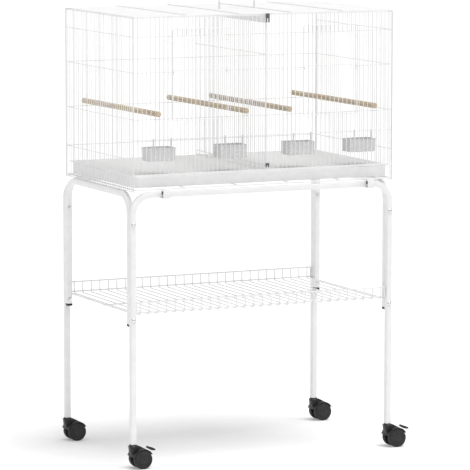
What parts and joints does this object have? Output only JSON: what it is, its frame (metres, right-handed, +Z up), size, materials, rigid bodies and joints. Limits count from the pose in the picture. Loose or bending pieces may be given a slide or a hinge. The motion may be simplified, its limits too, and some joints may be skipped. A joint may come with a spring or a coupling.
{
  "type": "bird cage on stand",
  "caption": "Wire bird cage with sliding doors, centre divider, perches, cups and pull-out tray, on a rolling tube stand with a wire shelf.",
  "frame": {"origin": "middle of the object's outline on the floor, under the wheels", "axes": "+Z up, +X along the cage's long side, front with the doors and tray faces -Y"},
  "size_m": [0.8274, 0.498, 1.2409],
  "materials": {
    "white_wire": "white powder-coated steel wire, softly glossy",
    "white_tube": "white powder-coated square steel tube",
    "white_plastic": "white moulded plastic",
    "black_plastic": "black moulded nylon",
    "grey_plastic": "smoke grey moulded plastic",
    "dark_plastic": "dark grey moulded clip",
    "caster_tread": "black wheel, satin",
    "timber": "bare turned hardwood dowel",
    "zinc_bolt": "zinc-plated bolt and nut"
  },
  "bodies": {
    "root": {"leg_front_left": "white_tube", "end_cap_front_left": "black_plastic", "bolt_upper_front_left": "zinc_bolt", "bolt_lower_front_left": "zinc_bolt", "leg_front_right": "white_tube", "end_cap_front_right": "black_plastic", "bolt_upper_front_right": "zinc_bolt", "bolt_lower_front_right": "zinc_bolt", "leg_back_left": "white_tube", "end_cap_back_left": "black_plastic", "bolt_upper_back_left": "zinc_bolt", "bolt_lower_back_left": "zinc_bolt", "leg_back_right": "white_tube", "end_cap_back_right": "black_plastic", "bolt_upper_back_right": "zinc_bolt", "bolt_lower_back_right": "zinc_bolt", "end_frame_left": "white_tube", "end_frame_right": "white_tube", "rail_front": "white_tube", "rail_back": "white_tube", "cage_bracket_front_left": "white_plastic", "cage_bracket_front_right": "white_plastic", "cage_bracket_back_left": "white_plastic", "cage_bracket_back_right": "white_plastic", "wire_shelf": "white_wire", "wall_front": "white_wire", "wall_back": "white_wire", "wall_left": "white_wire", "wall_right": "white_wire", "roof": "white_wire", "base_frame": "white_wire", "divider": "white_wire", "carry_handle": "white_wire", "divider_latch": "dark_plastic", "divider_foot_clip": "dark_plastic", "feeder_cup_1": "grey_plastic", "perch_1": "timber", "feeder_cup_2": "grey_plastic", "perch_2": "timber", "feeder_cup_3": "grey_plastic", "perch_3": "timber", "feeder_cup_4": "grey_plastic", "perch_4": "timber"},
    "tray": {"tray": "white_plastic", "tray_wall": "white_plastic"},
    "grille": {"floor_grille": "white_wire"},
    "door_left": {"door_left": "white_wire"},
    "door_right": {"door_right": "white_wire"},
    "caster_front_left": {"caster_hood_front_left": "black_plastic"},
    "wheels_front_left": {"caster_wheels_front_left": "caster_tread"},
    "brake_front_left": {"brake_lever_front_left": "black_plastic"},
    "caster_front_right": {"caster_hood_front_right": "black_plastic"},
    "wheels_front_right": {"caster_wheels_front_right": "caster_tread"},
    "brake_front_right": {"brake_lever_front_right": "black_plastic"},
    "caster_back_left": {"caster_hood_back_left": "black_plastic"},
    "wheels_back_left": {"caster_wheels_back_left": "caster_tread"},
    "caster_back_right": {"caster_hood_back_right": "black_plastic"},
    "wheels_back_right": {"caster_wheels_back_right": "caster_tread"}
  },
  "joints": [
    {"name": "tray_slide", "type": "slide", "parent": "root", "child": "tray", "axis": [0, -1, 0], "range_m": [0, 0.44]},
    {"name": "grille_slide", "type": "slide", "parent": "root", "child": "grille", "axis": [0, -1, 0], "range_m": [0, 0.36]},
    {"name": "door_left_slide", "type": "slide", "parent": "root", "child": "door_left", "axis": [0, 0, 1], "range_m": [0, 0.19]},
    {"name": "door_right_slide", "type": "slide", "parent": "root", "child": "door_right", "axis": [0, 0, 1], "range_m": [0, 0.19]},
    {"name": "caster_front_left_swivel", "type": "hinge", "parent": "root", "child": "caster_front_left", "pos_m": [-0.4017, -0.2255, 0.0645], "axis": [0, 0, 1], "continuous": true},
    {"name": "wheels_front_left_spin", "type": "hinge", "parent": "caster_front_left", "child": "wheels_front_left", "pos_m": [-0.3803, -0.2255, 0.025], "axis": [0, 1, 0], "continuous": true},
    {"name": "brake_front_left_press", "type": "hinge", "parent": "caster_front_left", "child": "brake_front_left", "pos_m": [-0.3593, -0.2255, 0.0525], "axis": [0, 1, 0], "range_deg": [0, 16]},
    {"name": "caster_front_right_swivel", "type": "hinge", "parent": "root", "child": "caster_front_right", "pos_m": [0.3533, -0.2255, 0.0645], "axis": [0, 0, 1], "continuous": true},
    {"name": "wheels_front_right_spin", "type": "hinge", "parent": "caster_front_right", "child": "wheels_front_right", "pos_m": [0.3747, -0.2255, 0.025], "axis": [0, 1, 0], "continuous": true},
    {"name": "brake_front_right_press", "type": "hinge", "parent": "caster_front_right", "child": "brake_front_right", "pos_m": [0.3957, -0.2255, 0.0525], "axis": [0, 1, 0], "range_deg": [0, 16]},
    {"name": "caster_back_left_swivel", "type": "hinge", "parent": "root", "child": "caster_back_left", "pos_m": [-0.4017, 0.2255, 0.0645], "axis": [0, 0, 1], "continuous": true},
    {"name": "wheels_back_left_spin", "type": "hinge", "parent": "caster_back_left", "child": "wheels_back_left", "pos_m": [-0.3803, 0.2255, 0.025], "axis": [0, 1, 0], "continuous": true},
    {"name": "caster_back_right_swivel", "type": "hinge", "parent": "root", "child": "caster_back_right", "pos_m": [0.3533, 0.2255, 0.0645], "axis": [0, 0, 1], "continuous": true},
    {"name": "wheels_back_right_spin", "type": "hinge", "parent": "caster_back_right", "child": "wheels_back_right", "pos_m": [0.3747, 0.2255, 0.025], "axis": [0, 1, 0], "continuous": true}
  ]
}
